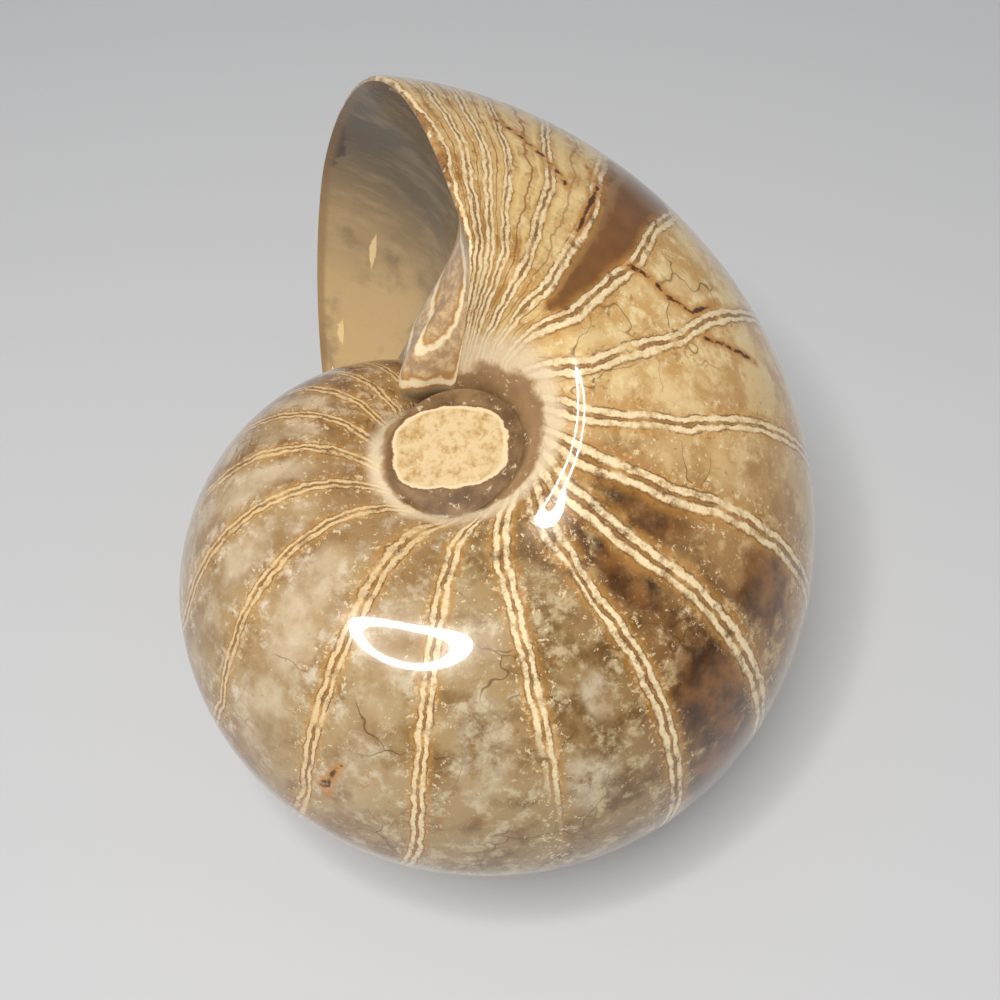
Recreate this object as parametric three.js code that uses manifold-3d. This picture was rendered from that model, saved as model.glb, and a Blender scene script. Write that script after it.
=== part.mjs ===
// A polished fossil nautiloid, one solid piece of stone, resting on its flank.
// The shell is a coil whose section grows with every turn. One full turn shows: each earlier turn is
// hidden inside it. The mouth is a radial cut across the last chamber wall, which is hollow like a bowl.
import * as THREE from "three";
import { ParametricGeometry } from "three/addons/geometries/ParametricGeometry.js";
import { mergeGeometries, mergeVertices } from "three/addons/utils/BufferGeometryUtils.js";
import Module from "manifold-3d";

// Driving dimensions, in millimetres and degrees. The coil axis is Z until the shell is leaned.
const MOUTH_RADIUS = 39.9; // coil axis to the outer edge of the shell at the mouth
const RADIUS_GROWTH = 2.54; // how many times that radius grows in one full turn
const MOUTH_HALF_WIDTH = 26.1; // middle plane to the shoulder of the shell at the mouth
const WIDTH_GROWTH = 2.7; // how many times the half width grows in one full turn
const FLANK_POWER = 1.15; // shapes the section's height: 1 is an ellipse, more falls away sooner
const EDGE_POWER = 0.76; // shapes the section's reach: 1 is an ellipse, less has a fuller outer edge
const FLOOR_HEIGHT = 14.5; // level of the stone that fills the umbilicus, above the middle plane
const FLOOR_RADIUS = 4.3; // how far that filling reaches, on average
const FLOOR_OFFSET = 1.8; // how much further it reaches on one side than on average
const FLOOR_OFFSET_ANGLE = 140; // which side that is, counted round the coil axis from +X
const FLOOR_TILT = 0.35; // slope of the filling's surface
const FLOOR_TILT_ANGLE = 30; // its high side, counted round the coil axis from +X
const SHOULDER_RATIO = 0.13; // width of the slope round the filling, as a share of the shell's radius
const SHOULDER_POWER = 2.2; // how quickly that slope rises from the filling before it rounds over
const MOUTH_ANGLE = 102.9; // where the mouth is cut, counted round the coil axis from +X
const SEPTUM_HOLLOW = 20; // how far round the coil the last chamber wall is hollowed, at its deepest
const LIP_LENGTH = 0.1; // the last part of the turn, worn a little thinner towards the mouth, in turns
const LIP_WEAR = 0.03; // share of the shell's radius worn away there, at the mouth
const LAPPET_ANGLE = 40; // how far the stone beside each umbilicus bulges forward of the mouth
const LAPPET_PLACE = 0.2; // where that bulge is, as a share of a half section's steps
const LAPPET_WIDTH = 0.11; // and how wide it is, in the same share
const LAPPET_SLUMP = 1.7; // draws the bulge down towards the umbilicus
const LAPPET_GAP = 8; // width of the mouth's face where the bulge is full; it fades where that is less
const LEAN = [10, 15, 2]; // turns about X, Y and Z that lay the shell on its flank
const REST_FLAT_DEPTH = 1.2; // stone worn off the lowest point, which leaves the flats it rests on

// Mesh steps
const TURN_STEPS = 72; // round the coil
const SECTION_STEPS = 40; // from one umbilicus over the outer edge to the other
const MOUTH_STEPS = 10; // from the inner turn to the rim of the mouth
const FLOOR_SHARE = 0.1; // share of a half section's steps that lies on the umbilicus's filling
const SLOPE_SHARE = 0.15; // share that lies on the slope round the filling
const WELD = 1e-4; // vertices closer than this are one vertex

const FULL_TURN = 2 * Math.PI;
const toRadians = THREE.MathUtils.degToRad;
const wasm = await Module();
wasm.setup();

// The angle round the coil axis, counted from +X. turns is 0 at the mouth and -1 one turn before it.
function angleAt(turns) {
  return toRadians(MOUTH_ANGLE) + turns * FULL_TURN;
}

// A size that grows steadily round the coil, from its value at the mouth.
function grown(sizeAtMouth, growth, turns) {
  return sizeAtMouth * Math.pow(growth, turns);
}

// Coil axis to the outer edge.
function outerRadius(turns) {
  const lip = Math.max(0, 1 + turns / LIP_LENGTH);
  return grown(MOUTH_RADIUS, RADIUS_GROWTH, turns) * (1 - LIP_WEAR * lip * lip);
}

// The surface of the umbilicus's filling in the direction given by turns: how far it reaches from the
// coil axis, and its height above the middle plane at a distance from that axis.
function floorReach(turns) {
  return FLOOR_RADIUS + FLOOR_OFFSET * Math.cos(angleAt(turns) - toRadians(FLOOR_OFFSET_ANGLE));
}

function floorHeight(turns, reach) {
  return FLOOR_HEIGHT + reach * FLOOR_TILT * Math.cos(angleAt(turns) - toRadians(FLOOR_TILT_ANGLE));
}

// One point of the shell's section, as a distance from the coil axis and a height above the middle plane.
// along runs from 0, the lower umbilicus, over the outer edge at 0.5, to 1, the upper umbilicus.
function sectionPoint(turns, along) {
  const radius = outerRadius(turns);
  const halfWidth = grown(MOUTH_HALF_WIDTH, WIDTH_GROWTH, turns);
  const floor = floorReach(turns);
  const shoulder = floor + SHOULDER_RATIO * radius;
  const side = along < 0.5 ? -1 : 1;
  const step = 1 - Math.abs(1 - 2 * along);
  if (step < FLOOR_SHARE) {
    const reach = floor * (step / FLOOR_SHARE);
    return { reach, height: side * floorHeight(turns, reach) };
  }
  if (step < FLOOR_SHARE + SLOPE_SHARE) {
    const outward = (step - FLOOR_SHARE) / SLOPE_SHARE;
    const rise = 1 - Math.pow(1 - outward, SHOULDER_POWER);
    return {
      reach: THREE.MathUtils.lerp(floor, shoulder, outward),
      height: side * THREE.MathUtils.lerp(floorHeight(turns, floor), halfWidth, rise),
    };
  }
  const arch = (Math.PI / 2) * ((step - FLOOR_SHARE - SLOPE_SHARE) / (1 - FLOOR_SHARE - SLOPE_SHARE));
  return {
    reach: shoulder + (radius - shoulder) * Math.pow(Math.sin(arch), EDGE_POWER),
    height: side * halfWidth * Math.pow(Math.max(Math.cos(arch), 0), FLANK_POWER),
  };
}

function placeRoundAxis(target, angle, point) {
  target.set(point.reach * Math.cos(angle), point.reach * Math.sin(angle), point.height);
}

// The outside of the last full turn.
function turnSurface(round, along, target) {
  placeRoundAxis(target, angleAt(round - 1), sectionPoint(round - 1, along));
}

// The mouth: from the outside of the turn before, at out 0, to the rim of the last turn, at out 1.
// Its hollow is deepest where the two are furthest apart, and it runs out at both. Beside each umbilicus
// the stone bulges forward instead, in a lappet.
const widestMouth = MOUTH_RADIUS - grown(MOUTH_RADIUS, RADIUS_GROWTH, -1);
function mouthSurface(along, out, target) {
  const inner = sectionPoint(-1, along);
  const rim = sectionPoint(0, along);
  const gap = Math.hypot(rim.reach - inner.reach, rim.height - inner.height);
  const fromLappet = (1 - Math.abs(1 - 2 * along) - LAPPET_PLACE) / LAPPET_WIDTH;
  const lappet = LAPPET_ANGLE * Math.exp(-fromLappet * fromLappet) * Math.min(1, gap / LAPPET_GAP);
  const forward = lappet * LAPPET_SLUMP * (1 - out);
  const hollow = toRadians(SEPTUM_HOLLOW * (gap / widestMouth) - forward) * Math.sin(Math.PI * out);
  placeRoundAxis(target, angleAt(0) - hollow, {
    reach: THREE.MathUtils.lerp(inner.reach, rim.reach, out),
    height: THREE.MathUtils.lerp(inner.height, rim.height, out),
  });
}

// Welds surfaces that share their edges into one closed mesh of positions and triangles.
function weld(surfaces) {
  for (const surface of surfaces) {
    surface.deleteAttribute("normal");
    surface.deleteAttribute("uv");
  }
  const welded = mergeVertices(mergeGeometries(surfaces), WELD);
  const corners = welded.getIndex().array;
  const kept = [];
  for (let i = 0; i < corners.length; i += 3) {
    const [a, b, c] = corners.slice(i, i + 3);
    if (a !== b && b !== c && c !== a) kept.push(a, b, c);
  }
  welded.setIndex(kept);
  return welded;
}

function toSolid(geometry) {
  const vertProperties = new Float32Array(geometry.getAttribute("position").array);
  const triVerts = new Uint32Array(geometry.getIndex().array);
  return new wasm.Manifold(new wasm.Mesh({ numProp: 3, vertProperties, triVerts }));
}

function toGeometry(solid) {
  const mesh = solid.getMesh();
  const geometry = new THREE.BufferGeometry();
  geometry.setAttribute("position", new THREE.BufferAttribute(mesh.vertProperties, 3));
  geometry.setIndex(new THREE.BufferAttribute(mesh.triVerts, 1));
  geometry.computeVertexNormals();
  return geometry;
}

// The whole coil, leaned as it lies.
function leaningShell() {
  const shell = weld([
    new ParametricGeometry(turnSurface, TURN_STEPS, SECTION_STEPS),
    new ParametricGeometry(mouthSurface, SECTION_STEPS, MOUTH_STEPS),
  ]);
  const lean = new THREE.Euler(...LEAN.map(toRadians), "XYZ");
  shell.applyMatrix4(new THREE.Matrix4().makeRotationFromEuler(lean));
  shell.computeBoundingBox();
  return shell;
}

// Everything below the level the stone rests on.
function groundBlock(box) {
  const side = 4 * MOUTH_RADIUS;
  const block = new THREE.BoxGeometry(side, side, side);
  block.translate(0, 0, box.min.z + REST_FLAT_DEPTH - side / 2);
  return weld([block]);
}

function fossilGeometry() {
  const shell = leaningShell();
  const solid = toSolid(shell).subtract(toSolid(groundBlock(shell.boundingBox)));
  const geometry = toGeometry(solid);
  geometry.computeBoundingBox();
  const { min, max } = geometry.boundingBox;
  geometry.translate(-(min.x + max.x) / 2, -(min.y + max.y) / 2, -min.z);
  return geometry;
}

const polishedStone = new THREE.MeshStandardMaterial({ color: 0xa88f72, roughness: 0.18, metalness: 0 });

const fossil = new THREE.Mesh(fossilGeometry(), polishedStone);
fossil.name = "nautiloid_fossil";

const group = new THREE.Group();
group.add(fossil);
export default group;
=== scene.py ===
"""Looks of a polished fossil nautiloid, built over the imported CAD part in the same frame.

The stone's surface is the CAD's own coil, sampled more finely. Each point also carries where it lies
on the shell (how far behind the mouth, how far out from the umbilicus, between which two sutures), and
the materials use those places to draw the sutures, the chambers, the umbilicus and the mouth.
"""

import math

import bpy
import numpy as np
from mathutils import Euler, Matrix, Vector


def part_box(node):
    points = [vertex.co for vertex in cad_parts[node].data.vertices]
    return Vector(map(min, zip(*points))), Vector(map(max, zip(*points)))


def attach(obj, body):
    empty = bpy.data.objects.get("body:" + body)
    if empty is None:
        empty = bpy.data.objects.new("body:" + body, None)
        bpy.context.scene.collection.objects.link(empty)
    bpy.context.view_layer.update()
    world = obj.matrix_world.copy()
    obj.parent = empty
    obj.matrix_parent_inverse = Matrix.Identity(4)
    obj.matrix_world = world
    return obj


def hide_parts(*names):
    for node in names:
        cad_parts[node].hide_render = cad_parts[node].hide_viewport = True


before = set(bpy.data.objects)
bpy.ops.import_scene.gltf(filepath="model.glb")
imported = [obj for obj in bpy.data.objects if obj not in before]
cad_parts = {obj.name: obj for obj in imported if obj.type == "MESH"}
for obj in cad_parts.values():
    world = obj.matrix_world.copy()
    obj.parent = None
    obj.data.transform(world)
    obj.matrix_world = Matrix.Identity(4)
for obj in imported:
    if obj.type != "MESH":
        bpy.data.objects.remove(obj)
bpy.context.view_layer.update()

# The shell's driving dimensions, in millimetres and degrees, the same as the CAD part's.
MOUTH_RADIUS = 39.9  # coil axis to the outer edge at the mouth
RADIUS_GROWTH = 2.54  # growth of that radius in one turn
MOUTH_HALF_WIDTH = 26.1  # middle plane to the shoulder at the mouth
WIDTH_GROWTH = 2.7  # growth of that half width in one turn
FLANK_POWER = 1.15  # shapes the section's height: 1 is an ellipse, more falls away sooner
EDGE_POWER = 0.76  # shapes the section's reach: 1 is an ellipse, less has a fuller outer edge
FLOOR_HEIGHT = 14.5  # level of the umbilicus's filling, above the middle plane
FLOOR_RADIUS = 4.3  # how far that filling reaches, on average
FLOOR_OFFSET = 1.8  # how much further it reaches on one side than on average
FLOOR_OFFSET_ANGLE = 140  # which side that is, round the coil axis
FLOOR_TILT = 0.35  # slope of the filling's surface
FLOOR_TILT_ANGLE = 30  # its high side, round the coil axis
SHOULDER_RATIO = 0.13  # width of the slope round the filling, as a share of the shell's radius
SHOULDER_POWER = 2.2  # how quickly that slope rises before it rounds over
MOUTH_ANGLE = 102.9  # where the mouth is cut, round the coil axis
SEPTUM_HOLLOW = 20  # how far round the coil the last chamber wall is hollowed, at its deepest
LIP_LENGTH = 0.1  # the part of the turn before the mouth that is worn thinner, in turns
LIP_WEAR = 0.03  # share of the shell's radius worn away at the mouth
LAPPET_ANGLE = 40  # how far the stone beside each umbilicus bulges forward of the mouth
LAPPET_PLACE = 0.2  # where that bulge is, as a share of a half section's steps
LAPPET_WIDTH = 0.11  # and how wide it is, in the same share
LAPPET_SLUMP = 1.7  # draws the bulge down towards the umbilicus
LAPPET_GAP = 8  # width of the mouth's face where the bulge is full
LEAN = (10, 15, 2)  # turns about X, Y and Z that lay the shell on its flank
REST_FLAT_DEPTH = 1.2  # stone worn off the lowest point, which leaves the flat it rests on
FLOOR_SHARE = 0.1  # share of a half section's steps that lies on the umbilicus's filling
SLOPE_SHARE = 0.15  # share that lies on the slope round the filling

# Mesh steps, and the polished rim of the mouth
TURN_STEPS = 320  # round the coil
SECTION_STEPS = 220  # from one umbilicus over the outer edge to the other
MOUTH_STEPS = 60  # from the turn before to the rim of the mouth
WELD_DIGITS = 4  # points that agree to this many digits of a millimetre are one point
SHARP_ANGLE = 40  # faces that meet at more than this show an edge
RIM_ROUNDING = 0.45  # radius of the rim
RIM_FULL_GAP = 3  # width of the mouth face from which the rim is fully rounded
RIM_ROWS = (0.001, 0.0006, 0.0003, 0.0001)  # extra rows of points there, in turns before the mouth

# Where the sutures cross the middle of the flank, in degrees behind the mouth.
SUTURES = (
    0, 5, 10, 15, 25, 36, 50.5, 72, 95.5, 116.5, 137, 157, 180.5, 204.5, 226, 252.5,
    272, 291, 307, 321, 333, 345, 355, 365,
)
# How many degrees further back than there a suture lies beside the ring, along the shell. It swings
# about this share of the way out, within this length, and lies forward at the outer edge by this share.
SWEEP_AT = (0, 157, 180, 205, 226, 252, 272, 291, 360)
SWEEP = (0, 1, 4, 5, 6, 12, 8, 6, 5)
SWEEP_MIDDLE = 0.6
SWEEP_LENGTH = 0.32
SWEEP_LEAST = -0.85
# Beside the ring each suture hooks forward, from this share of the way out, over this length, by these
# degrees (the second only close to the ring), and more or less so along the shell.
HOOK_PLACE = 0.27
HOOK_LENGTH = 0.14
HOOK_DEGREES = (8, 22)
HOOK_AT = (0, 40, 170, 230)
HOOK = (0.2, 1, 1, 0.35)
# Just outside the hook it swings back by these degrees, round this share of the way out, over this
# width, up to so many degrees behind the mouth.
WAIST_DEGREES = 2
WAIST_PLACE = 0.34
WAIST_WIDTH = 0.05
WAIST_END = 160
# How far out from the umbilicus the sutures can be followed, as a share of the way to the outer edge.
SHOWN_AT = (0, 23, 36, 50, 72, 93, 168, 183, 195, 360)
SHOWN_TO = (0.9, 0.62, 0.5, 0.52, 0.66, 1.1, 1.1, 0.56, 1.1, 1.1)
# Width of a suture's coloured bands, against the ordinary one, and how far they reach at that one.
BOLD_AT = (0, 18, 33, 63, 95, 116, 137, 157, 205, 252, 303, 360)
BOLD = (0.6, 0.55, 0.75, 0.95, 0.85, 1.2, 1.2, 0.95, 0.75, 0.72, 0.6, 0.45)
BAND_SPAN = 1.5

# Ovals on the umbilicus, in the coil's own plane, in millimetres: centre, half sizes, squareness.
PLUG_CENTRE = (-1.75, 1.45)
PLUG_SIZE = (3.75, 2.8)
PLUG_POWER = 2.6
RING_CENTRE = (-1.0, 1.3)
RING_SIZE = (5.3, 4.9)
RING_POWER = 2.2
UMBILICUS_END = 0.3  # share of the way out beyond which neither is drawn

# Patches on the flank: sutures passed on the way back from the mouth, share of the way out, half sizes.
BROWN_WINDOWS = ((5.5, 0.36, 0.62, 0.17), (5.5, 0.5, 0.55, 0.1))
AMBER_WINDOWS = (
    (9.4, 0.32, 0.45, 0.07),
    (9.4, 0.57, 0.45, 0.1),
    (10.4, 0.36, 0.4, 0.08),
    (10.45, 0.62, 0.5, 0.16),
    (10.5, 0.82, 0.5, 0.14),
)
PALE_WINDOWS = ((11.72, 0.66, 0.28, 0.09), (12.5, 0.58, 0.3, 0.13), (11.45, 0.5, 0.2, 0.06))
# Open cracks on the upper flank, each a line through places: degrees behind the mouth, share of the way out.
CRACKS = (
    ((15, 0.43), (22, 0.4), (27, 0.38), (31, 0.36)),
    ((34, 0.43), (37.5, 0.4), (37, 0.35), (37, 0.31)),
    ((51.5, 0.33), (58, 0.35), (64, 0.36), (70, 0.39), (69, 0.46)),
    ((76, 0.39), (79, 0.44), (82, 0.5)),
    ((217.5, 0.72), (218.5, 0.77), (217.5, 0.83)),
    ((218, 0.76), (219.5, 0.81)),
)
STEP_LENGTH = 45  # millimetres along the flank from the umbilicus's middle to the outer edge, roughly
FAR_AWAY = 9.0  # stands for a distance at which nothing is drawn
FAR_OUTSIDE = -3.0  # the same for a patch

# Chips and stains on the mouth face: place round the section, share of the way to the rim, half sizes.
MOUTH_CHIPS = ((0.42, 0.87, 0.026, 0.012), (0.325, 0.94, 0.02, 0.012), (0.4, 0.76, 0.007, 0.007))
MOUTH_STAINS = ((0.545, 0.985, 0.022, 0.022), (0.57, 0.99, 0.02, 0.016), (0.52, 0.99, 0.012, 0.012))
# The tongue drawn beside the umbilicus, in shares of a half section and of the way to the rim.
TONGUE_WIDTH = 0.32  # half its width on the mouth face
TONGUE_PLACE = 0.21  # below this its loops round off towards the ring, above it they narrow
TONGUE_FOOT = 0.1  # length of the rounded end
TONGUE_TOP = 0.36  # length of the narrowing part
TONGUE_TAPER = 0.9  # share of the width lost there at most
TONGUE_FADE = 0.12  # how soon the loops end at the top
TONGUE_SPAN = 1.35  # how far the loops reach, against the outline

# Colours as they show on screen, 0 to 255. The chambers' go by degrees behind the mouth.
BODY_TONES = (
    (0, (216, 180, 118)), (45, (226, 194, 136)), (85, (228, 198, 144)), (115, (180, 140, 90)),
    (145, (128, 90, 48)), (170, (158, 128, 84)), (205, (174, 148, 106)), (235, (180, 152, 108)),
    (290, (180, 148, 102)), (345, (164, 126, 80)),
)
DEEP_TONES = (
    (0, (172, 122, 60)), (60, (206, 164, 102)), (95, (192, 150, 96)), (140, (78, 46, 16)),
    (172, (116, 84, 42)), (205, (140, 108, 66)), (240, (156, 122, 80)), (320, (128, 90, 50)),
)
PALE_TONES = (
    (0, (236, 208, 152)), (70, (240, 214, 162)), (120, (200, 166, 114)), (160, (194, 172, 130)),
    (210, (202, 186, 154)), (260, (224, 208, 184)), (350, (204, 176, 136)),
)
HEART_BROWN, HEART_MILK, CHAMBER_ENDS = (160, 130, 88), (214, 194, 164), (146, 106, 60)
WINDOW_DEEP, WINDOW_CLEAR = (104, 64, 30), (146, 100, 56)
AMBER_DEEP, AMBER_CLEAR, PATCH_MILK = (62, 34, 10), (140, 92, 44), (208, 192, 164)
GRAIN_CREAM, STAIN_OCHRE, CRAZE_BROWN = (226, 202, 160), (172, 118, 52), (92, 60, 30)
CRACK_OCHRE, CRACK_BROWN = (190, 130, 58), (84, 50, 20)
SPECK_CREAM, SPECK_OCHRE = (240, 218, 176), (150, 100, 40)
SUTURE_CREAM, SUTURE_GOLD, SUTURE_LINE = (244, 222, 178), (190, 136, 60), (104, 60, 16)
SUTURE_GRAIN, SUTURE_TAN = (198, 150, 84), (196, 150, 84)
GROWTH_CREAM, GROWTH_OCHRE = (236, 204, 140), (150, 94, 28)
RING_DEEP, RING_CLEAR, RING_SLOPE = (98, 70, 38), (142, 110, 72), (190, 152, 112)
RING_FLECK, RING_EDGE = (232, 212, 180), (236, 216, 182)
PLUG_CREAM, PLUG_OCHRE = (220, 194, 148), (182, 140, 76)
PLUG_RIM, PLUG_SHADOW = (232, 208, 166), (120, 84, 50)
TONGUE_CREAM, TONGUE_OCHRE = (242, 222, 184), (180, 130, 66)
TONGUE_DEEP, TONGUE_CLEAR = (172, 140, 104), (216, 184, 140)
# The mouth's go by the place round its section, 0 and 1 at the two umbilici. Their darker middle, towards the
# outer tip, is partly the calcite's own grey-brown and partly painted shade of the hollow face.
MOUTH_TONES_AND_SHADE = (
    (0.25, (206, 176, 126)), (0.38, (196, 166, 118)), (0.48, (152, 128, 94)),
    (0.58, (112, 96, 72)), (0.72, (118, 98, 72)), (0.85, (160, 136, 102)),
)
MOUTH_STREAK, MOUTH_HAZE, MOUTH_RIM = (196, 170, 130), (104, 88, 68), (150, 118, 80)
CHIP_CREAM, CHIP_STAIN = (236, 206, 150), (74, 56, 40)
TABLE_GREY = (206, 208, 212)

# Polish: the stone's own roughness and how much it varies, and the clear gloss over it
STONE_IOR = 1.5
STONE_SPECULAR = 0.3
FLANK_ROUGHNESS, FLANK_ROUGHNESS_SPREAD = 0.14, 0.12
MOUTH_ROUGHNESS, MOUTH_ROUGHNESS_SPREAD = 0.2, 0.15
FLANK_COAT, FLANK_COAT_ROUGHNESS = 0.6, 0.03
MOUTH_COAT, MOUTH_COAT_ROUGHNESS = 0.3, 0.08
RIPPLE_SIZE = 0.8  # millimetres across
RIPPLE_HEIGHT = 0.00002  # metres
RIPPLE_STRENGTH = 0.4

# Floor, lighting and camera, in metres and degrees
FLOOR_HALF = 2.0
FLOOR_ROUGHNESS = 0.7
CAMERA_ELEVATION = 53.8
CAMERA_AZIMUTH = -0.3
CAMERA_ROLL = -4.7
CAMERA_DISTANCE = 0.101
CAMERA_AIM = (-0.0003, -0.0037, 0.0235)
CAMERA_LENS = 46.8
CAMERA_SENSOR = 36
CAMERA_NEAREST = 0.005
LAMP_CENTRE = (-0.052, -0.122, 0.32)
LAMP_AIM = (0, 0, 0.02)
LAMP_INNER = 0.052
LAMP_OUTER = 0.075
LAMP_SIDES = 96
LAMP_STRENGTH = 38
LAMP_LIGHT = (1.0, 0.97, 0.92, 1.0)
FILL_STRENGTH = 0.24
FILL_LIGHT = (0.95, 0.97, 1.0, 1.0)
MM_PER_METRE = 1000


# ---- the shell's surface -------------------------------------------------------------------------


def angle_at(turns):
    """The angle round the coil axis: turns is 0 at the mouth and -1 one turn before it."""
    return math.radians(MOUTH_ANGLE) + turns * 2 * np.pi


def lerp(start, end, share):
    return start + (end - start) * share


def outer_radius(turns):
    """Coil axis to the outer edge, worn a little just before the mouth."""
    lip = np.maximum(0, 1 + turns / LIP_LENGTH)
    return MOUTH_RADIUS * RADIUS_GROWTH**turns * (1 - LIP_WEAR * lip * lip)


def floor_reach(turns):
    """How far the umbilicus's filling reaches."""
    return FLOOR_RADIUS + FLOOR_OFFSET * np.cos(angle_at(turns) - math.radians(FLOOR_OFFSET_ANGLE))


def floor_height(turns, reach):
    """Level of the filling, which slopes."""
    return FLOOR_HEIGHT + reach * FLOOR_TILT * np.cos(angle_at(turns) - math.radians(FLOOR_TILT_ANGLE))


def step_at(along):
    """The place round the section as a share of the way from the nearer umbilicus to the outer edge."""
    return 1 - np.abs(1 - 2 * along)


def section(turns, along):
    """Points of the shell's section: distance from the coil axis and height above the middle plane."""
    radius = outer_radius(turns)
    half_width = MOUTH_HALF_WIDTH * WIDTH_GROWTH**turns
    floor = floor_reach(turns)
    shoulder = floor + SHOULDER_RATIO * radius
    side = np.where(along < 0.5, -1.0, 1.0)
    step = step_at(along)
    floor_end = FLOOR_SHARE + SLOPE_SHARE
    outward = np.clip((step - FLOOR_SHARE) / SLOPE_SHARE, 0, 1)
    rise = 1 - (1 - outward) ** SHOULDER_POWER
    arch = np.pi / 2 * np.clip((step - floor_end) / (1 - floor_end), 0, 1)
    on_floor = floor * np.clip(step / FLOOR_SHARE, 0, 1)
    zones = [step < FLOOR_SHARE, step < floor_end]
    reach = np.select(
        zones,
        [on_floor, lerp(floor, shoulder, outward)],
        shoulder + (radius - shoulder) * np.sin(arch) ** EDGE_POWER,
    )
    height = np.select(
        zones,
        [floor_height(turns, on_floor), lerp(floor_height(turns, floor), half_width, rise)],
        half_width * np.clip(np.cos(arch), 0, 1) ** FLANK_POWER,
    )
    return reach, side * height


def mouth_gap(along):
    """Width of the mouth face at each place round the section."""
    inner_reach, inner_height = section(np.float64(-1), along)
    rim_reach, rim_height = section(np.float64(0), along)
    return np.hypot(rim_reach - inner_reach, rim_height - inner_height)


def rounded_in(turns, along, reach, height):
    """Turns the last half millimetre before the mouth inwards, as polishing rounds a rim."""
    before = np.clip(-turns * 2 * np.pi * np.maximum(reach, 1), 0, RIM_ROUNDING)
    full = np.clip(mouth_gap(along) / RIM_FULL_GAP, 0, 1)
    inset = full * (RIM_ROUNDING - np.sqrt(RIM_ROUNDING**2 - (RIM_ROUNDING - before) ** 2))
    length = np.maximum(np.hypot(reach, height), 1)
    return reach - inset * reach / length, height - inset * height / length


def to_points(angle, reach, height):
    """Points in the coil's own frame, the coil axis up."""
    return np.stack([reach * np.cos(angle), reach * np.sin(angle), height + 0 * angle], axis=-1)


def turn_grid():
    """The outside of the last full turn: points, and their turns, along and out."""
    rounds = np.linspace(-1, 0, TURN_STEPS + 1)
    turns = np.unique(np.concatenate([rounds, [-row for row in RIM_ROWS]]))
    along = np.linspace(0, 1, SECTION_STEPS + 1)
    turns, along = np.meshgrid(turns, along, indexing="ij")
    reach, height = rounded_in(turns, along, *section(turns, along))
    out = np.where(turns < -0.5, 0.0, 1.0)  # the mouth face starts at the turn before, and ends at this one
    return to_points(angle_at(turns), reach, height), turns, along, out


def lappet_share(along, out):
    """How much of the bulge beside the umbilicus each place on the mouth face has."""
    from_lappet = (step_at(along) - LAPPET_PLACE) / LAPPET_WIDTH
    across = np.exp(-(from_lappet**2)) * np.minimum(1, mouth_gap(along) / LAPPET_GAP)
    return across * LAPPET_SLUMP * (1 - out) * np.sin(np.pi * out)


def mouth_grid():
    """The hollow face of the mouth, from the turn before out to the rim."""
    along = np.linspace(0, 1, SECTION_STEPS + 1)
    out = np.linspace(0, 1, MOUTH_STEPS + 1)
    along, out = np.meshgrid(along, out, indexing="ij")
    inner = section(np.float64(-1), along)
    rim = rounded_in(np.float64(0), along, *section(np.float64(0), along))
    widest = MOUTH_RADIUS - MOUTH_RADIUS / RADIUS_GROWTH
    gap = mouth_gap(along)
    forward = LAPPET_ANGLE * lappet_share(along, out)
    hollow = np.radians(SEPTUM_HOLLOW * gap / widest) * np.sin(np.pi * out) - np.radians(forward)
    points = to_points(angle_at(0) - hollow, lerp(inner[0], rim[0], out), lerp(inner[1], rim[1], out))
    return points, 0 * along, along, out


def grid_faces(rows, columns, first):
    """Corners of a grid's cells, as numbers of its points, counted from first."""
    number = first + np.arange(rows * columns).reshape(rows, columns)
    cells = [number[:-1, :-1], number[1:, :-1], number[1:, 1:], number[:-1, 1:]]
    return np.stack([cell.ravel() for cell in cells], axis=-1)


def welded(points, faces):
    """Joins points at the same place; also gives the cells that still have an area, and which they are."""
    keys = np.round(points, WELD_DIGITS) + 0.0
    _, kept, number = np.unique(keys, axis=0, return_index=True, return_inverse=True)
    cleaned, sources = [], []
    for source, face in enumerate(number.reshape(-1)[faces].tolist()):
        corners = [corner for i, corner in enumerate(face) if corner != face[i - 1]]
        if len(set(corners)) == len(corners) and len(corners) > 2:
            cleaned.append(corners)
            sources.append(source)
    return kept, cleaned, np.array(sources)


def laid_down(points):
    """Leans the coil, wears the flat it rests on, and sets it in the CAD part's box, in metres."""
    lean = np.array(Euler([math.radians(turn) for turn in LEAN], "XYZ").to_matrix())
    leaned = points @ lean.T
    leaned[:, 2] = np.maximum(leaned[:, 2], leaned[:, 2].min() + REST_FLAT_DEPTH)
    low, high = leaned.min(axis=0), leaned.max(axis=0)
    cad_low, cad_high = (np.array(corner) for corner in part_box("nautiloid_fossil"))
    return cad_low + (leaned - low) / (high - low) * (cad_high - cad_low)


# ---- places on the shell, carried by its points --------------------------------------------------


def outline(points, centre, size, power):
    """1 on an oval in the coil's plane, less inside it and more outside."""
    across = np.abs(points[:, 0] - centre[0]) / size[0]
    up = np.abs(points[:, 1] - centre[1]) / size[1]
    return (across**power + up**power) ** (1 / power)


def patches(first, second, places):
    """1 in the middle of the nearest patch, 0 at its edge, less outside it."""
    nearest = np.full(first.shape, FAR_OUTSIDE)
    for first_centre, second_centre, first_size, second_size in places:
        away = np.hypot((first - first_centre) / first_size, (second - second_centre) / second_size)
        nearest = np.maximum(nearest, 1 - away)
    return nearest


def crack_distance(behind, step, reach):
    """Distance in millimetres to the nearest open crack."""
    degree = np.radians(1) * np.maximum(reach, 1)
    scale = np.stack([degree, np.full(reach.shape, STEP_LENGTH)], axis=-1)
    places = np.stack([behind, step], axis=-1)
    nearest = np.full(reach.shape, FAR_AWAY)
    for line in CRACKS:
        for start, end in zip(line[:-1], line[1:]):
            along = (np.array(end) - start) * scale
            away = (places - start) * scale
            share = np.clip((along * away).sum(axis=-1) / (along * along).sum(axis=-1), 0, 1)
            nearest = np.minimum(nearest, np.linalg.norm(away - along * share[:, None], axis=-1))
    return nearest


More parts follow.
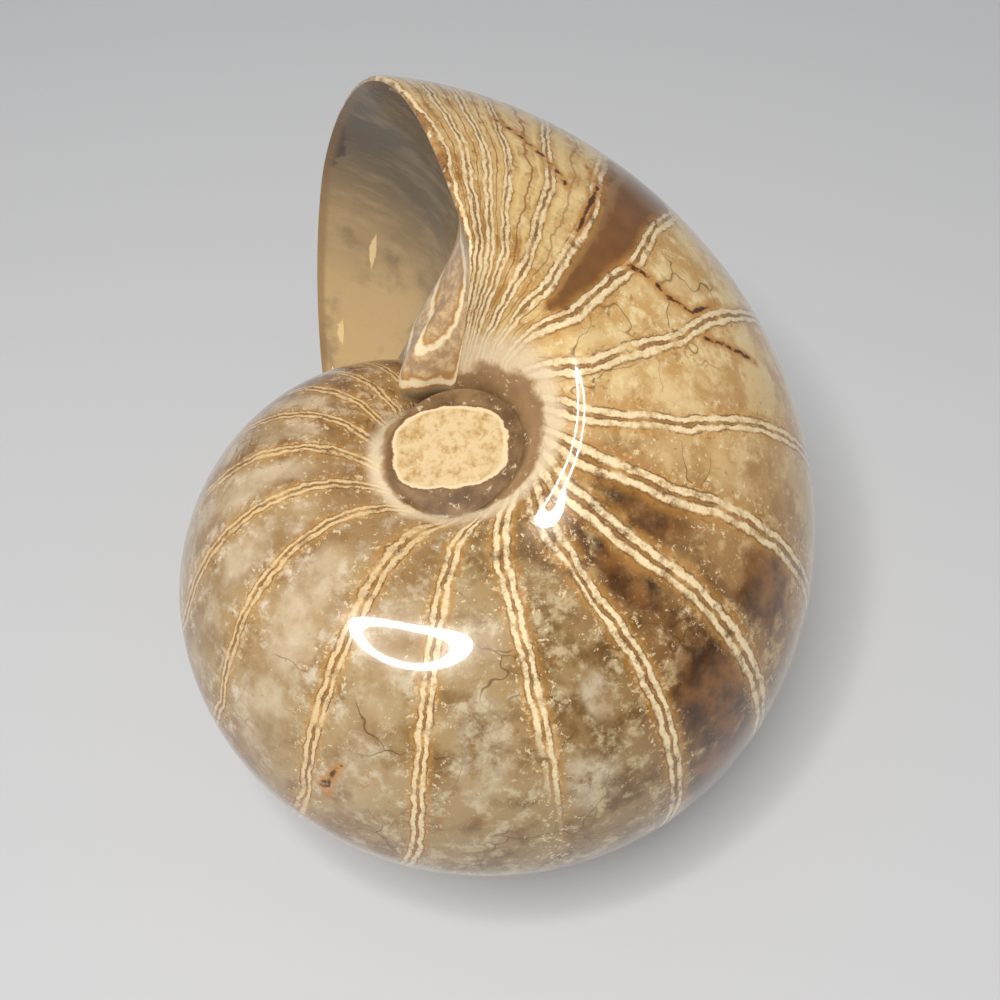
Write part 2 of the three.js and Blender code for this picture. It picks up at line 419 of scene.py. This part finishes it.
def suture_phase(behind, step):
    """Counts the sutures passed on the way back from the mouth: whole numbers are sutures."""
    sweep = np.interp(behind, SWEEP_AT, SWEEP)
    swept = sweep * np.clip((SWEEP_MIDDLE - step) / SWEEP_LENGTH, SWEEP_LEAST, 1)
    near_ring = np.clip((HOOK_PLACE - step) / HOOK_LENGTH, 0, 1)
    hooked = HOOK_DEGREES[0] * near_ring + HOOK_DEGREES[1] * near_ring**3
    hook = hooked * np.interp(behind, HOOK_AT, HOOK)
    waist = WAIST_DEGREES * np.exp(-(((step - WAIST_PLACE) / WAIST_WIDTH) ** 2)) * (behind < WAIST_END)
    return np.interp(behind - swept + hook - waist, SUTURES, np.arange(len(SUTURES)))


def suture_pitch(phase, reach):
    """Distance in millimetres from one suture to the next."""
    widths = np.gradient(np.array(SUTURES, float))
    return np.radians(np.interp(phase, np.arange(len(SUTURES)), widths)) * reach


def tongue_level(step, out):
    """0 along the middle of the tongue beside the umbilicus, 1 on its outline."""
    width = TONGUE_WIDTH * (1 - np.clip((step - TONGUE_PLACE) / TONGUE_TOP, 0, TONGUE_TAPER))
    across = np.abs(out - 1 + width) / width
    below = np.clip((TONGUE_PLACE - step) / TONGUE_FOOT, 0, 2)
    above = np.clip((step - TONGUE_PLACE - TONGUE_TOP) / TONGUE_FADE + 1, 0, 4)
    return np.hypot(across, below) + above


def places_on_shell(points, turns, along, out):
    """Everything that the materials need to know of each point."""
    behind = -360 * turns
    step = step_at(along)
    umbilical = step < UMBILICUS_END
    reach = np.hypot(points[:, 0], points[:, 1])
    phase = suture_phase(behind, step)
    return {
        "behind": behind / 360,
        "step": step,
        "along": along,
        "out": out,
        "phase": phase,
        "pitch": suture_pitch(phase, reach),
        "shown": np.interp(behind, SHOWN_AT, SHOWN_TO) - step,
        "bold": np.interp(behind, BOLD_AT, BOLD),
        "plug": np.where(umbilical, outline(points, PLUG_CENTRE, PLUG_SIZE, PLUG_POWER), FAR_AWAY),
        "ring": np.where(umbilical, outline(points, RING_CENTRE, RING_SIZE, RING_POWER), FAR_AWAY),
        "window": patches(phase, step, BROWN_WINDOWS),
        "amber": patches(phase, step, AMBER_WINDOWS),
        "pale": patches(phase, step, PALE_WINDOWS),
        "crack": np.where(along > 0.5, crack_distance(behind, step, reach), FAR_AWAY),
        "chip": patches(along, out, MOUTH_CHIPS),
        "stain": patches(along, out, MOUTH_STAINS),
        "tongue": tongue_level(step, out),
    }


def stone_mesh():
    """The whole surface as one mesh, and which of its faces are on the mouth."""
    grids = [turn_grid(), mouth_grid()]
    points = np.concatenate([grid[0].reshape(-1, 3) for grid in grids])
    turns, along, out = (np.concatenate([grid[part].ravel() for grid in grids]) for part in (1, 2, 3))
    turn_shape, mouth_shape = (grid[1].shape for grid in grids)
    turn_faces = grid_faces(*turn_shape, 0)
    mouth_faces = grid_faces(*mouth_shape, grids[0][1].size)
    kept, faces, sources = welded(points, np.concatenate([turn_faces, mouth_faces]))
    mesh = bpy.data.meshes.new("polished_nautiloid")
    mesh.from_pydata(laid_down(points[kept]).tolist(), [], faces)
    for name, values in places_on_shell(points[kept], turns[kept], along[kept], out[kept]).items():
        attribute = mesh.attributes.new(name, "FLOAT", "POINT")
        attribute.data.foreach_set("value", np.asarray(values, np.float32))
    return mesh, sources >= len(turn_faces)


def build_stone():
    mesh, on_mouth = stone_mesh()
    mesh.materials.append(flank_material())
    mesh.materials.append(mouth_material())
    mesh.polygons.foreach_set("material_index", on_mouth.astype(np.int32))
    mesh.polygons.foreach_set("use_smooth", np.ones(len(on_mouth), bool))
    mesh.set_sharp_from_angle(angle=math.radians(SHARP_ANGLE))
    return add_object("nautiloid_stone", mesh)


# ---- materials -----------------------------------------------------------------------------------


def paint(red, green, blue, alpha=1.0):
    """A colour given as it shows on screen, 0 to 255, for a shader."""
    shown = [value / 255 for value in (red, green, blue)]
    return tuple(v / 12.92 if v <= 0.04045 else ((v + 0.055) / 1.055) ** 2.4 for v in shown) + (alpha,)


class Shader:
    """Builds a material's nodes. A value is a number, a colour as it shows, or another node's output."""

    def __init__(self, name):
        self.material = bpy.data.materials.new(name)
        self.material.use_nodes = True
        self.tree = self.material.node_tree
        self.surface = self.tree.nodes["Principled BSDF"]
        coordinates = self.tree.nodes.new("ShaderNodeTexCoord").outputs["Object"]
        self.place = self.scaled(coordinates, MM_PER_METRE)

    def put(self, socket, value):
        if isinstance(value, bpy.types.NodeSocket):
            self.tree.links.new(value, socket)
        else:
            socket.default_value = value

    def scaled(self, vector, factor):
        node = self.tree.nodes.new("ShaderNodeVectorMath")
        node.operation = "SCALE"
        self.put(node.inputs[0], vector)
        node.inputs["Scale"].default_value = factor
        return node.outputs[0]

    def moved(self, vector, offset):
        node = self.tree.nodes.new("ShaderNodeVectorMath")
        node.operation = "ADD"
        self.put(node.inputs[0], vector)
        self.put(node.inputs[1], offset)
        return node.outputs[0]

    def maths(self, operation, first, second=0.0, clamp=False):
        node = self.tree.nodes.new("ShaderNodeMath")
        node.operation = operation
        node.use_clamp = clamp
        self.put(node.inputs[0], first)
        self.put(node.inputs[1], second)
        return node.outputs[0]

    def plus(self, first, second):
        return self.maths("ADD", first, second)

    def times(self, *factors):
        product = factors[0]
        for factor in factors[1:]:
            product = self.maths("MULTIPLY", product, factor)
        return product

    def carried(self, name):
        """A place on the shell, carried by the stone's points."""
        node = self.tree.nodes.new("ShaderNodeAttribute")
        node.attribute_name = name
        return node.outputs["Fac"]

    def flat_place(self, x, y):
        node = self.tree.nodes.new("ShaderNodeCombineXYZ")
        self.put(node.inputs[0], x)
        self.put(node.inputs[1], y)
        return node.outputs[0]

    def noise(self, size, detail=3.0, roughness=0.55, shift=0.0, place=None):
        """Noise from 0 to 1 with blotches about size millimetres across."""
        node = self.tree.nodes.new("ShaderNodeTexNoise")
        place = self.place if place is None else place
        self.put(node.inputs["Vector"], self.moved(place, (shift, shift, shift)))
        node.inputs["Scale"].default_value = 1 / size
        node.inputs["Detail"].default_value = detail
        node.inputs["Roughness"].default_value = roughness
        return node.outputs["Fac"]

    def wander(self, amount, *noise, **shift):
        """Noise round 0 that reaches half the amount each way."""
        return self.times(self.plus(self.noise(*noise, **shift), -0.5), amount)

    def ragged(self, value, amount, *noise, **shift):
        """The value, made to wander by half the amount each way."""
        return self.plus(value, self.wander(amount, *noise, **shift))

    def crazing(self, size, width):
        """1 along the edges of a pattern of wandering cells about size millimetres across."""
        bend = self.tree.nodes.new("ShaderNodeTexNoise")
        self.put(bend.inputs["Vector"], self.place)
        bend.inputs["Scale"].default_value = 2 / size
        cells = self.tree.nodes.new("ShaderNodeTexVoronoi")
        cells.feature = "DISTANCE_TO_EDGE"
        bent = self.moved(self.place, self.scaled(bend.outputs["Color"], size * 0.8))
        self.put(cells.inputs["Vector"], bent)
        cells.inputs["Scale"].default_value = 1 / size
        return self.fade(cells.outputs["Distance"], width / size, 0.0)

    def fade(self, value, start, end):
        """0 at start, 1 at end, smooth between."""
        node = self.tree.nodes.new("ShaderNodeMapRange")
        node.interpolation_type = "SMOOTHSTEP"
        self.put(node.inputs["Value"], value)
        self.put(node.inputs["From Min"], start)
        self.put(node.inputs["From Max"], end)
        return node.outputs["Result"]

    def ramp(self, value, stops):
        """Colour and alpha that change with value. Stops are (position, colour), with an alpha or without."""
        node = self.tree.nodes.new("ShaderNodeValToRGB")
        self.put(node.inputs[0], value)
        marks = node.color_ramp.elements
        while len(marks) < len(stops):
            marks.new(1.0)
        for mark, (position, colour, *alpha) in zip(marks, stops):
            mark.position = position
            mark.color = paint(*colour, *alpha)
        return node.outputs["Color"], node.outputs["Alpha"]

    def tones(self, turns_behind, tones):
        """A colour that changes round the turn; tones are (degrees behind the mouth, colour)."""
        return self.ramp(turns_behind, [(degrees / 360, colour) for degrees, colour in tones])[0]

    def mix(self, share, first, second):
        node = self.tree.nodes.new("ShaderNodeMix")
        node.data_type = "RGBA"
        self.put(node.inputs["Factor"], share)
        for socket, colour in (("A", first), ("B", second)):
            self.put(node.inputs[socket], paint(*colour) if isinstance(colour, tuple) else colour)
        return node.outputs["Result"]

    def bump(self, height, distance, strength):
        node = self.tree.nodes.new("ShaderNodeBump")
        node.inputs["Strength"].default_value = strength
        node.inputs["Distance"].default_value = distance
        self.put(node.inputs["Height"], height)
        return node.outputs["Normal"]

    def finish(self, colour, roughness, coat, coat_roughness, normal=None):
        self.put(self.surface.inputs["Base Color"], colour)
        self.put(self.surface.inputs["Roughness"], roughness)
        self.surface.inputs["IOR"].default_value = STONE_IOR
        self.surface.inputs["Specular IOR Level"].default_value = STONE_SPECULAR
        self.surface.inputs["Coat Weight"].default_value = coat
        self.surface.inputs["Coat Roughness"].default_value = coat_roughness
        if normal is not None:
            self.put(self.surface.inputs["Normal"], normal)
        return self.material


def chamber_colour(shader):
    """The calcite between the sutures: pale near the mouth, brown further round, then milky."""
    where = shader.ragged(shader.carried("behind"), 0.12, 9, 2)
    body = shader.tones(where, BODY_TONES)
    deep = shader.tones(where, DEEP_TONES)
    pale = shader.tones(where, PALE_TONES)
    clouds = shader.noise(3.4, 5, 0.62)
    colour = shader.mix(shader.fade(clouds, 0.58, 0.38), body, deep)
    milk = shader.noise(1.6, 6, 0.7, 31)
    return shader.mix(shader.fade(milk, 0.48, 0.66), colour, pale)


def milky_hearts(shader, colour):
    """Cloudy white calcite in the middle of the far half's chambers, browner at their ends."""
    behind, step = shader.carried("behind"), shader.carried("step")
    middle = shader.maths("PINGPONG", shader.maths("FRACT", shader.carried("phase")), 0.5)
    far_half = shader.times(shader.fade(behind, 0.55, 0.64), shader.fade(behind, 0.93, 0.86))
    ends = shader.times(shader.fade(step, 0.27, 0.42), shader.fade(step, 0.98, 0.8))
    broken = shader.times(shader.noise(2.4, 5, 0.65, 83), 0.8)
    heart = shader.fade(shader.plus(middle, broken), 0.5, 0.82)
    cloud = shader.fade(shader.noise(3.2, 5, 0.6, 151), 0.34, 0.68)
    milk = shader.mix(cloud, HEART_BROWN, HEART_MILK)
    colour = shader.mix(shader.times(far_half, ends, heart, 0.8), colour, milk)
    browner = shader.times(far_half, shader.fade(ends, 0.5, 0.0), 0.5)
    return shader.mix(browner, colour, CHAMBER_ENDS)


def patch_colour(shader, colour):
    """Clear brown and amber calcite in a few chambers, and milky clouds in others."""
    wander = shader.wander(1.1, 1.8, 4)
    depth = shader.noise(2.2, 3, shift=12)
    brown = shader.mix(depth, WINDOW_DEEP, WINDOW_CLEAR)
    window = shader.plus(shader.carried("window"), shader.times(wander, 0.3))
    colour = shader.mix(shader.fade(window, 0.04, 0.16), colour, brown)
    amber = shader.mix(shader.fade(depth, 0.35, 0.7), AMBER_DEEP, AMBER_CLEAR)
    amber_share = shader.fade(shader.plus(shader.carried("amber"), wander), 0.0, 0.42)
    colour = shader.mix(shader.times(amber_share, 0.85), colour, amber)
    milky = shader.fade(shader.plus(shader.carried("pale"), wander), -0.1, 0.7)
    cloudy = shader.fade(shader.noise(1.5, 6, 0.7, 211), 0.34, 0.62)
    return shader.mix(shader.times(milky, cloudy, 0.75), colour, PATCH_MILK)


def fleck_colour(shader, colour):
    """Pale grains and ochre stains, and fine brown cracks."""
    grains = shader.fade(shader.noise(0.42, 2, 0.6, 7), 0.64, 0.72)
    crowd = shader.fade(shader.noise(5, 2, shift=19), 0.45, 0.65)
    colour = shader.mix(shader.times(grains, crowd, 0.55), colour, GRAIN_CREAM)
    stains = shader.fade(shader.noise(2.6, 5, 0.7, 47), 0.62, 0.74)
    colour = shader.mix(shader.times(stains, 0.6), colour, STAIN_OCHRE)
    crazed = shader.fade(shader.noise(8, 1, shift=3), 0.5, 0.62)
    return shader.mix(shader.times(shader.crazing(7, 0.09), crazed, 0.75), colour, CRAZE_BROWN)


def crack_colour(shader, colour):
    """A few open cracks, dark brown where they gape, with an ochre stain beside them."""
    distance = shader.maths("ABSOLUTE", shader.ragged(shader.carried("crack"), 0.6, 0.9, 4, 0.65, 61))
    near = shader.fade(shader.carried("crack"), 1.6, 0.8)
    stain = shader.fade(distance, 0.6, 0.15)
    colour = shader.mix(shader.times(stain, near, 0.75), colour, CRACK_OCHRE)
    gaping = shader.fade(shader.noise(1.1, 4, 0.7, 173), 0.28, 0.42)
    return shader.mix(shader.times(shader.fade(distance, 0.2, 0.07), gaping, near), colour, CRACK_BROWN)


def suture_offset(shader):
    """Signed distance to the nearest suture, against the ordinary width of its bands."""
    from_nearest = shader.plus(shader.maths("FRACT", shader.plus(shader.carried("phase"), 0.5)), -0.5)
    distance = shader.ragged(shader.times(from_nearest, shader.carried("pitch")), 0.95, 1.6, 5, 0.7)
    return shader.maths("DIVIDE", distance, shader.carried("bold"))


def banded(shader, offset, stops):
    """Bands along a suture. Stops are (offset, colour, strength)."""
    marks = [((at + BAND_SPAN) / (2 * BAND_SPAN), tone, strength) for at, tone, strength in stops]
    place = shader.maths("DIVIDE", shader.plus(offset, BAND_SPAN), 2 * BAND_SPAN, clamp=True)
    return shader.ramp(place, marks)


def speckled(shader, colour):
    """Cream and ochre grains that crowd towards the sutures."""
    near = shader.fade(shader.maths("ABSOLUTE", suture_offset(shader)), 3.2, 0.4)
    cream = shader.plus(shader.noise(0.45, 3, 0.75, 113), shader.times(near, 0.11))
    ochre = shader.plus(shader.noise(0.6, 3, 0.7, 131), shader.times(near, 0.08))
    colour = shader.mix(shader.times(shader.fade(ochre, 0.66, 0.72), 0.5), colour, SPECK_OCHRE)
    return shader.mix(shader.times(shader.fade(cream, 0.66, 0.72), 0.7), colour, SPECK_CREAM)


def suture_colour(shader, colour):
    """Each suture: cream and golden bands, with thin brown lines along them that come and go."""
    offset = suture_offset(shader)
    gold, cream, line = SUTURE_GOLD, SUTURE_CREAM, SUTURE_LINE
    tone, strength = banded(shader, offset, (
        (-1.3, gold, 0), (-0.75, gold, 0.6), (-0.5, cream, 0.95), (-0.22, cream, 1), (0.0, gold, 1),
        (0.22, cream, 1), (0.48, cream, 0.95), (0.7, gold, 0.6), (1.3, gold, 0)))
    _, lines = banded(shader, offset, (
        (-0.74, line, 0), (-0.63, line, 0.9), (-0.52, line, 0), (-0.2, line, 0), (-0.1, line, 0.9),
        (0.0, line, 0.3), (0.1, line, 0.9), (0.2, line, 0), (0.52, line, 0), (0.63, line, 0.8),
        (0.74, line, 0)))
    shown = shader.plus(shader.carried("shown"), shader.times(shader.noise(3, 2), 0.2))
    shown = shader.fade(shown, 0.02, 0.2)
    grained = shader.fade(shader.noise(0.5, 3, 0.7, 57), 0.52, 0.66)
    tone = shader.mix(shader.times(grained, 0.4), tone, SUTURE_GRAIN)
    tanned = shader.fade(shader.carried("behind"), 0.5, 0.66)
    tone = shader.mix(shader.times(tanned, 0.4), tone, SUTURE_TAN)
    worn = shader.fade(shader.noise(1.2, 5, 0.7, 23), 0.32, 0.54)
    colour = shader.mix(shader.times(strength, worn, shown), colour, tone)
    drawn = shader.fade(shader.noise(1.7, 3, 0.65, 37), 0.34, 0.54)
    return shader.mix(shader.times(lines, drawn, shown), colour, SUTURE_LINE)


def growth_lines(shader, colour):
    """Close cream and ochre growth lines behind the mouth, between its crowded sutures."""
    count = shader.times(shader.ragged(shader.carried("phase"), 0.5, 2.2), 2.0)
    wave = shader.maths("PINGPONG", count, 0.5)
    near_mouth = shader.fade(shader.carried("behind"), 0.13, 0.06)
    strength = shader.times(near_mouth, shader.fade(shader.carried("step"), 0.72, 0.5), 0.8)
    colour = shader.mix(shader.times(shader.fade(wave, 0.3, 0.42), strength), colour, GROWTH_CREAM)
    return shader.mix(shader.times(shader.fade(wave, 0.1, 0.02), strength), colour, GROWTH_OCHRE)


def ring_stone(shader):
    """The clear brown stone of the umbilicus's ring, paler on the slope, with cream flecks."""
    stone = shader.mix(shader.fade(shader.noise(1.8, 4, 0.65), 0.3, 0.7), RING_DEEP, RING_CLEAR)
    slope = shader.fade(shader.carried("step"), 0.095, 0.12)
    stone = shader.mix(shader.times(slope, 0.5), stone, RING_SLOPE)
    flecks = shader.fade(shader.noise(0.6, 3, 0.7, 71), 0.6, 0.68)
    return shader.mix(shader.times(flecks, 0.6), stone, RING_FLECK)


def umbilicus_colour(shader, colour):
    """The clear ring with its ragged pale edge, and the cream plug inside it."""
    ring = shader.ragged(shader.carried("ring"), 0.2, 1.6, 4, shift=5)
    edge = shader.times(shader.fade(ring, 0.9, 1.0), shader.fade(ring, 1.22, 1.04), 0.8)
    colour = shader.mix(edge, colour, RING_EDGE)
    colour = shader.mix(shader.fade(ring, 1.0, 0.93), colour, ring_stone(shader))
    plug = shader.ragged(shader.carried("plug"), 0.34, 2.2, 5, 0.6)
    grain = shader.fade(shader.noise(0.7, 4, 0.7, 91), 0.42, 0.72)
    colour = shader.mix(shader.fade(plug, 1.1, 1.05), colour, PLUG_SHADOW)
    colour = shader.mix(shader.fade(plug, 1.05, 1.02), colour, PLUG_RIM)
    return shader.mix(shader.fade(plug, 0.99, 0.94), colour, shader.mix(grain, PLUG_CREAM, PLUG_OCHRE))


def flank_material():
    shader = Shader("polished_calcite_flank")
    colour = chamber_colour(shader)
    layers = (
        milky_hearts, fleck_colour, speckled, patch_colour, growth_lines, suture_colour, crack_colour,
        umbilicus_colour,
    )
    for layer in layers:
        colour = layer(shader, colour)
    spread = shader.times(shader.noise(2, 3), FLANK_ROUGHNESS_SPREAD)
    roughness = shader.plus(FLANK_ROUGHNESS, spread)
    normal = shader.bump(shader.noise(RIPPLE_SIZE), RIPPLE_HEIGHT, RIPPLE_STRENGTH)
    return shader.finish(colour, roughness, FLANK_COAT, FLANK_COAT_ROUGHNESS, normal)


def tongue_colour(shader, colour):
    """The tongue beside the umbilicus: clear stone, a cream outline and a cream loop inside it."""
    wandering = shader.ragged(shader.carried("tongue"), 0.34, 1.0, 5, 0.65)
    level = shader.times(wandering, 1 / TONGUE_SPAN)
    cream, ochre = TONGUE_CREAM, TONGUE_OCHRE
    stone = shader.mix(shader.fade(shader.noise(0.8, 4, 0.7, 29), 0.4, 0.66), TONGUE_DEEP, TONGUE_CLEAR)
    colour = shader.mix(shader.fade(level, 0.86, 0.8), colour, stone)
    loop, strength = shader.ramp(level, (
        (0.2, ochre, 0), (0.25, ochre), (0.3, cream), (0.35, cream), (0.4, ochre, 0), (0.62, ochre, 0),
        (0.68, ochre), (0.73, cream), (0.81, cream), (0.85, ochre), (0.91, ochre, 0)))
    return shader.mix(strength, colour, loop)


def mouth_marks(shader, colour):
    """Cream chips, dark stains at the tip, and the browner rim."""
    chips = shader.plus(shader.carried("chip"), shader.times(shader.noise(0.5, 2), 0.4))
    colour = shader.mix(shader.fade(chips, 0.3, 0.45), colour, CHIP_CREAM)
    colour = tongue_colour(shader, colour)
    stains = shader.plus(shader.carried("stain"), shader.times(shader.noise(0.5, 5, 0.7), 0.9))
    colour = shader.mix(shader.times(shader.fade(stains, 0.45, 0.75), 0.8), colour, CHIP_STAIN)
    rim = shader.fade(shader.carried("out"), 0.975, 0.99)
    return shader.mix(shader.times(rim, 0.7), colour, MOUTH_RIM)


def mouth_material():
    """The last chamber wall: grey-brown calcite, darker towards the outer tip partly by its own tone and
    partly by painted shade of the hollow, finely streaked.
    """
    shader = Shader("polished_calcite_mouth")
    along, out = shader.carried("along"), shader.carried("out")
    # the tone round the section holds painted shade of the hollow as well as the calcite's own colour
    colour, _ = shader.ramp(shader.ragged(along, 0.16, 9, 3), MOUTH_TONES_AND_SHADE)
    stretched = shader.flat_place(shader.times(along, 60), shader.times(out, 8))
    streaks = shader.noise(1.0, 5, 0.6, place=stretched)
    colour = shader.mix(shader.times(shader.fade(streaks, 0.45, 0.75), 0.6), colour, MOUTH_STREAK)
    haze = shader.fade(shader.noise(4, 5, 0.6, 13), 0.5, 0.7)
    colour = shader.mix(shader.times(haze, 0.45), colour, MOUTH_HAZE)
    colour = mouth_marks(shader, colour)
    roughness = shader.plus(MOUTH_ROUGHNESS, shader.times(streaks, MOUTH_ROUGHNESS_SPREAD))
    return shader.finish(colour, roughness, MOUTH_COAT, MOUTH_COAT_ROUGHNESS)


# ---- floor, light and camera ---------------------------------------------------------------------


def plain_material(name, **values):
    """A material that is the same all over; values are the shader's own, by name."""
    material = bpy.data.materials.new(name)
    material.use_nodes = True
    surface = material.node_tree.nodes["Principled BSDF"]
    for socket, value in values.items():
        surface.inputs[socket.replace("_", " ")].default_value = value
    return material


def add_object(name, data):
    added = bpy.data.objects.new(name, data)
    bpy.context.scene.collection.objects.link(added)
    return added


def build_floor():
    half = FLOOR_HALF
    corners = [(-half, -half, 0), (half, -half, 0), (half, half, 0), (-half, half, 0)]
    mesh = bpy.data.meshes.new("floor")
    mesh.from_pydata(corners, [], [(0, 1, 2, 3)])
    mesh.materials.append(
        plain_material("pale_floor", Base_Color=paint(*TABLE_GREY), Roughness=FLOOR_ROUGHNESS)
    )
    floor = add_object("floor", mesh)


def build_ring_lamp():
    """A ring lamp that faces the stone: its light is soft, and the polish mirrors it as a ring."""
    turns = np.linspace(0, 2 * np.pi, LAMP_SIDES, endpoint=False)
    circle = np.stack([np.cos(turns), np.sin(turns), 0 * turns], axis=-1)
    points = np.concatenate([circle * LAMP_INNER, circle * LAMP_OUTER])
    neighbours = [(side, (side + 1) % LAMP_SIDES) for side in range(LAMP_SIDES)]
    faces = [(this, after, LAMP_SIDES + after, LAMP_SIDES + this) for this, after in neighbours]
    mesh = bpy.data.meshes.new("ring_lamp")
    mesh.from_pydata(points.tolist(), [], faces)
    mesh.materials.append(
        plain_material("lamp_glow", Emission_Color=LAMP_LIGHT, Emission_Strength=LAMP_STRENGTH)
    )
    lamp = add_object("ring_lamp", mesh)
    lamp.location = LAMP_CENTRE
    lamp.rotation_euler = (Vector(LAMP_AIM) - Vector(LAMP_CENTRE)).to_track_quat("-Z", "Y").to_euler()


def build_fill():
    world = bpy.data.worlds.new("soft_room")
    world.use_nodes = True
    background = world.node_tree.nodes["Background"]
    background.inputs["Color"].default_value = FILL_LIGHT
    background.inputs["Strength"].default_value = FILL_STRENGTH
    bpy.context.scene.world = world


def build_camera():
    azimuth, elevation = math.radians(CAMERA_AZIMUTH), math.radians(CAMERA_ELEVATION)
    level = math.cos(elevation)
    back = Vector((math.sin(azimuth) * level, -math.cos(azimuth) * level, math.sin(elevation)))
    data = bpy.data.cameras.new("camera")
    data.lens = CAMERA_LENS
    data.sensor_width = CAMERA_SENSOR
    data.clip_start = CAMERA_NEAREST
    camera = add_object("camera", data)
    camera.location = Vector(CAMERA_AIM) + back * CAMERA_DISTANCE
    aim = (-back).to_track_quat("-Z", "Y")
    camera.rotation_mode = "QUATERNION"
    camera.rotation_quaternion = aim @ Euler((0, 0, math.radians(CAMERA_ROLL))).to_quaternion()
    bpy.context.scene.camera = camera


stone = build_stone()
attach(stone, "root")
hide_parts("nautiloid_fossil")
build_floor()
build_ring_lamp()
build_fill()
build_camera()
bpy.context.scene.view_settings.view_transform = "Standard"
